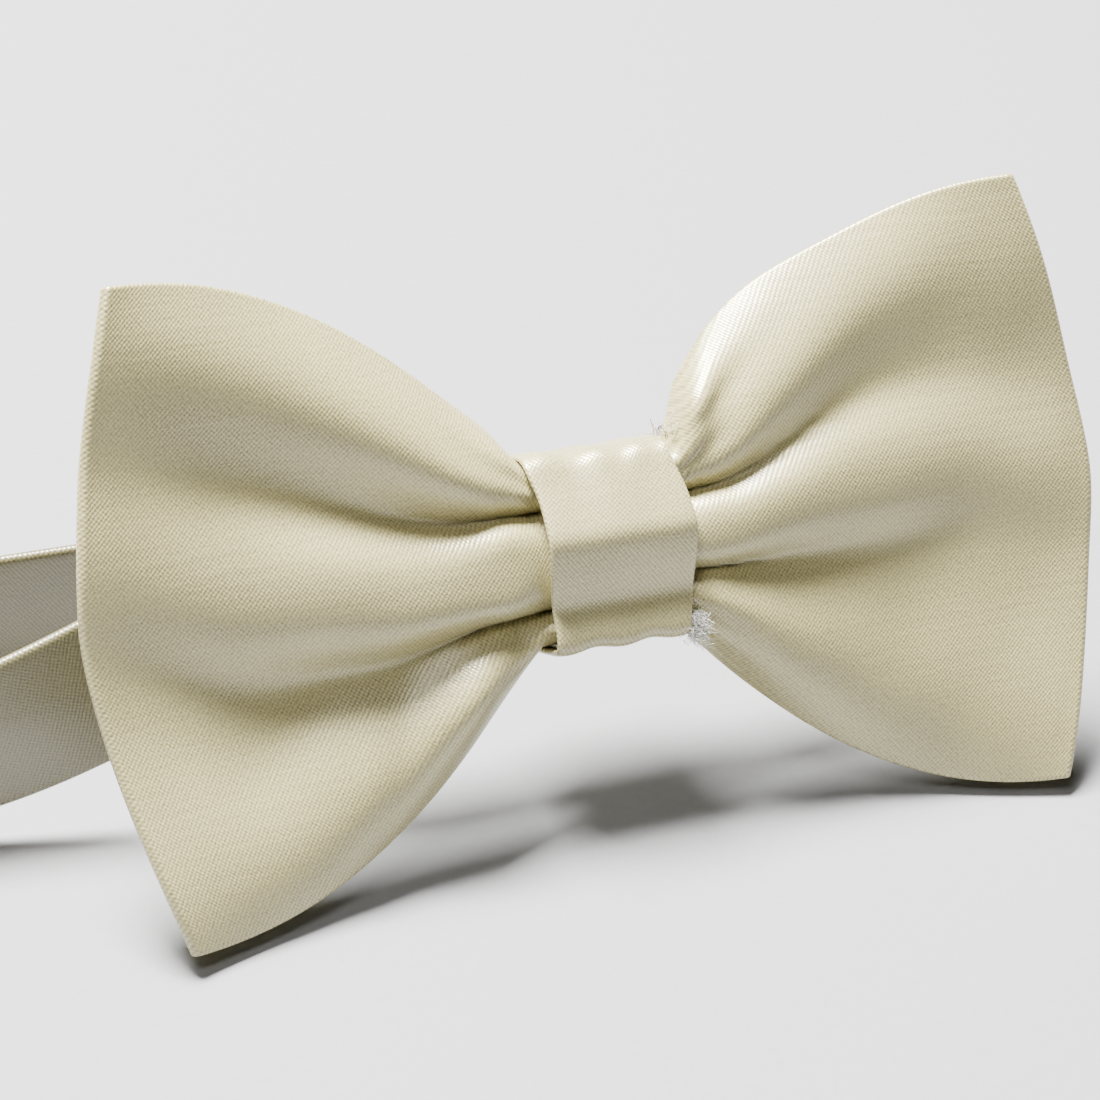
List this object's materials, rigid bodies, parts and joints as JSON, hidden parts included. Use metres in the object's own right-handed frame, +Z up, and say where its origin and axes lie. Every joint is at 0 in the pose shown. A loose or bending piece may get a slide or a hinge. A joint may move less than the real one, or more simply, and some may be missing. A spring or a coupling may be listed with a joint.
{
  "type": "bow tie",
  "caption": "Pre-tied satin bow tie with a pleated looped bow, a wrapped knot and an adjustable neck strap that closes with a hook and eye.",
  "frame": {"origin": "middle of the bottom of the bounding box, on the surface that the bow tie stands on", "axes": "+X along the bow, to the right as one faces it; -Y the way the bow faces; +Z up from the surface"},
  "size_m": [0.1706, 0.058, 0.064],
  "materials": {
    "satin": "champagne satin, bias cut",
    "strap_satin": "champagne satin, folded strap",
    "lining": "white woven interlining",
    "thread": "twisted sewing thread",
    "metal": "plated wire, bright"
  },
  "bodies": {
    "strap": {"neck_strap": "strap_satin", "neck_strap_interlining": "lining", "strap_tail_hem": "thread"},
    "bow": {"bow_satin": "satin", "bow_interlining": "lining", "waist_thread": "thread", "knot_band": "satin", "knot_lining": "lining", "knot_stitches": "thread"},
    "left_half": {"strap_left": "strap_satin", "strap_left_interlining": "lining", "strap_left_bar_tack": "thread"},
    "hook": {"hook": "metal"},
    "eye": {"eye": "metal"},
    "slider": {"slider": "metal"}
  },
  "joints": [
    {"name": "bow_slide", "type": "slide", "parent": "strap", "child": "bow", "axis": [1, 0, 0], "range_m": [-0.01, 0.01]},
    {"name": "strap_left_open", "type": "hinge", "parent": "strap", "child": "left_half", "pos_m": [-0.0856, 0.01252, 0.0107], "axis": [0, 0, 1], "range_deg": [0, 100]},
    {"name": "slider_slide", "type": "slide", "parent": "strap", "child": "slider", "axis": [1, 0, 0], "range_m": [-0.014, 0.006]},
    {"name": "hook_pivot", "type": "hinge", "parent": "left_half", "child": "hook", "pos_m": [-0.0065, 0.02637, 0.0107], "axis": [0, 0, 1], "range_deg": [0, 60]},
    {"name": "eye_pivot", "type": "hinge", "parent": "strap", "child": "eye", "pos_m": [0.0155, 0.02637, 0.0107], "axis": [0, 0, 1], "range_deg": [0, 60]}
  ]
}
